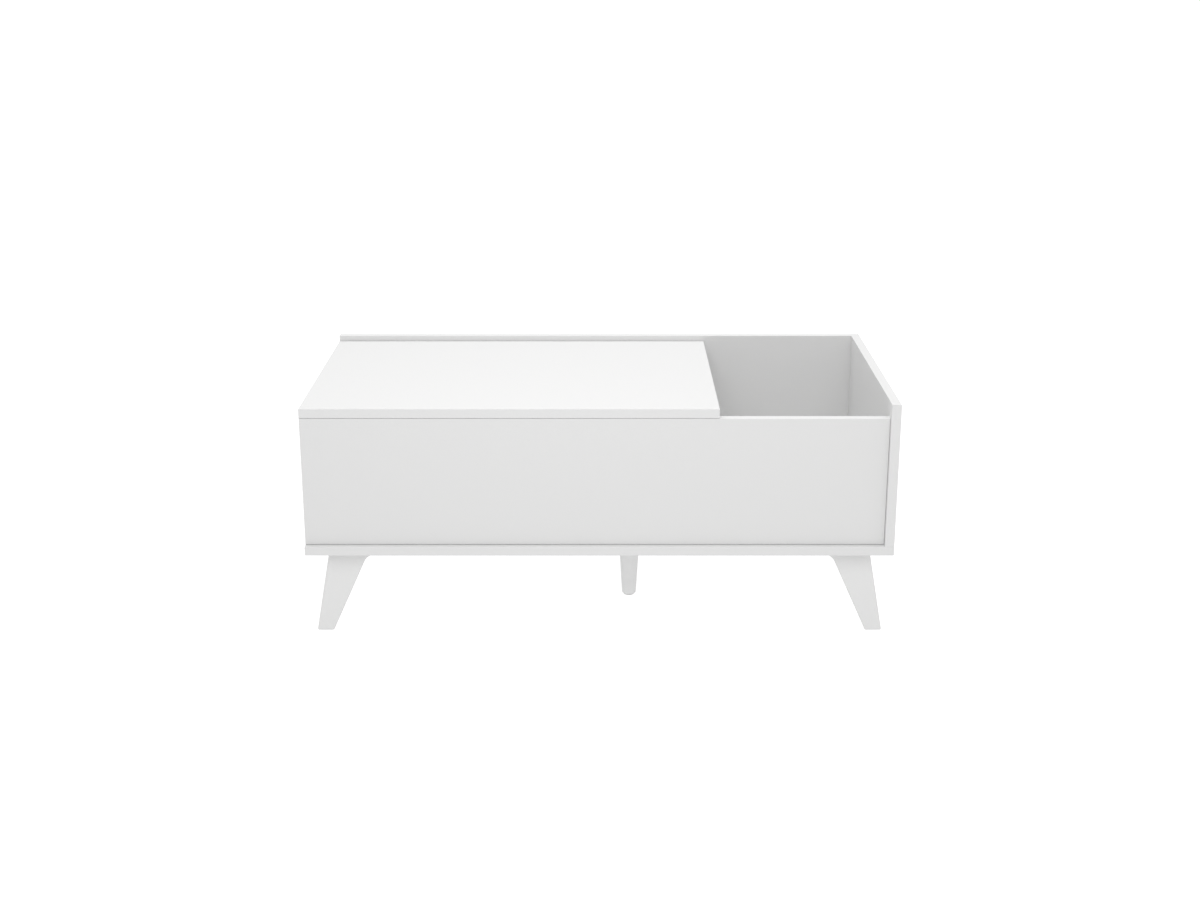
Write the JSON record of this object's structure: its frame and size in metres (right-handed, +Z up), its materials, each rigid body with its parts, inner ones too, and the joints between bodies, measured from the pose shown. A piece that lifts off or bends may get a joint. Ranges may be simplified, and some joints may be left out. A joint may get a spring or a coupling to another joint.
{
  "type": "lift top coffee table",
  "caption": "Low rectangular table on splayed tapered legs, with a lift top on parallel arms over a storage box and an open magazine compartment at its right end.",
  "frame": {"origin": "on the floor under the middle of the table's bounding box", "axes": "+X to the right as seen from the front, +Y to the back, +Z up"},
  "size_m": [1, 0.5006, 0.416],
  "materials": {
    "white_board": "white melamine face on chipboard, matt, fine even texture",
    "white_edge_band": "white ABS edge band, satin matt",
    "white_leg": "white moulded plastic, satin matt",
    "cap_plastic": "white moulded cap",
    "glide_felt": "pale grey pressed felt on a nail",
    "bumper_rubber": "translucent soft rubber",
    "black_rubber": "black soft rubber",
    "bracket_steel": "black powder coat, fine orange peel",
    "zinc_steel": "bright zinc plate",
    "cast_cam": "as cast zinc alloy",
    "spring_steel": "oiled spring wire",
    "nylon": "natural nylon",
    "beech_dowel": "fluted beech"
  },
  "bodies": {
    "root": {"back_edge_bands": "white_edge_band", "back_panel": "white_board", "base_bracket_screws": "zinc_steel", "base_edge_bands": "white_edge_band", "base_panel": "white_board", "base_rivets": "zinc_steel", "base_washers": "nylon", "cam_bolts": "zinc_steel", "cam_cover_caps": "cap_plastic", "cam_housings": "cast_cam", "centre_leg": "white_leg", "centre_leg_bolt": "zinc_steel", "confirmat_screws": "zinc_steel", "divider_edge_bands": "white_edge_band", "divider_panel": "white_board", "foot_glides": "glide_felt", "front_edge_bands": "white_edge_band", "front_left_leg": "white_leg", "front_panel": "white_board", "front_right_leg": "white_leg", "left_base_bracket": "bracket_steel", "left_side_edge_bands": "white_edge_band", "left_side_panel": "white_board", "left_spring": "spring_steel", "leg_screws": "zinc_steel", "lid_bumpers": "bumper_rubber", "rear_left_leg": "white_leg", "rear_right_leg": "white_leg", "right_base_bracket": "bracket_steel", "right_side_edge_bands": "white_edge_band", "right_side_panel": "white_board", "right_spring": "spring_steel", "spring_studs": "zinc_steel", "stop_sleeves": "black_rubber", "stop_studs": "zinc_steel", "wooden_dowels": "beech_dowel"},
    "left_front_arm": {"left_front_arm": "bracket_steel", "left_hook_pin": "zinc_steel"},
    "right_front_arm": {"right_front_arm": "bracket_steel", "right_hook_pin": "zinc_steel"},
    "left_rear_arm": {"left_rear_arm": "bracket_steel"},
    "right_rear_arm": {"right_rear_arm": "bracket_steel"},
    "lift_top": {"lift_top_panel": "white_board", "lift_top_edge_bands": "white_edge_band", "left_top_bracket": "bracket_steel", "right_top_bracket": "bracket_steel", "top_rivets": "zinc_steel", "top_washers": "nylon", "top_bracket_screws": "zinc_steel"}
  },
  "joints": [
    {"name": "left_front_arm_swing", "type": "hinge", "parent": "root", "child": "left_front_arm", "pos_m": [-0.4795, -0.11, 0.33], "axis": [1, 0, 0], "range_deg": [0, 120], "deforming": ["left_spring"]},
    {"name": "right_front_arm_swing", "type": "hinge", "parent": "root", "child": "right_front_arm", "pos_m": [0.1795, -0.11, 0.33], "axis": [1, 0, 0], "range_deg": [0, 120], "deforming": ["right_spring"]},
    {"name": "left_rear_arm_swing", "type": "hinge", "parent": "root", "child": "left_rear_arm", "pos_m": [-0.4795, 0.04, 0.33], "axis": [1, 0, 0], "range_deg": [0, 120]},
    {"name": "right_rear_arm_swing", "type": "hinge", "parent": "root", "child": "right_rear_arm", "pos_m": [0.1795, 0.04, 0.33], "axis": [1, 0, 0], "range_deg": [0, 120]},
    {"name": "lift_top_level", "type": "hinge", "parent": "left_front_arm", "child": "lift_top", "pos_m": [-0.4795, 0.05742, 0.35952], "axis": [1, 0, 0], "range_deg": [-120, 0]}
  ],
  "couplings": [
    {"joint": "right_front_arm_swing", "follows": "left_front_arm_swing", "ratio": 1},
    {"joint": "left_rear_arm_swing", "follows": "left_front_arm_swing", "ratio": 1},
    {"joint": "right_rear_arm_swing", "follows": "left_front_arm_swing", "ratio": 1},
    {"joint": "lift_top_level", "follows": "left_front_arm_swing", "ratio": -1}
  ]
}
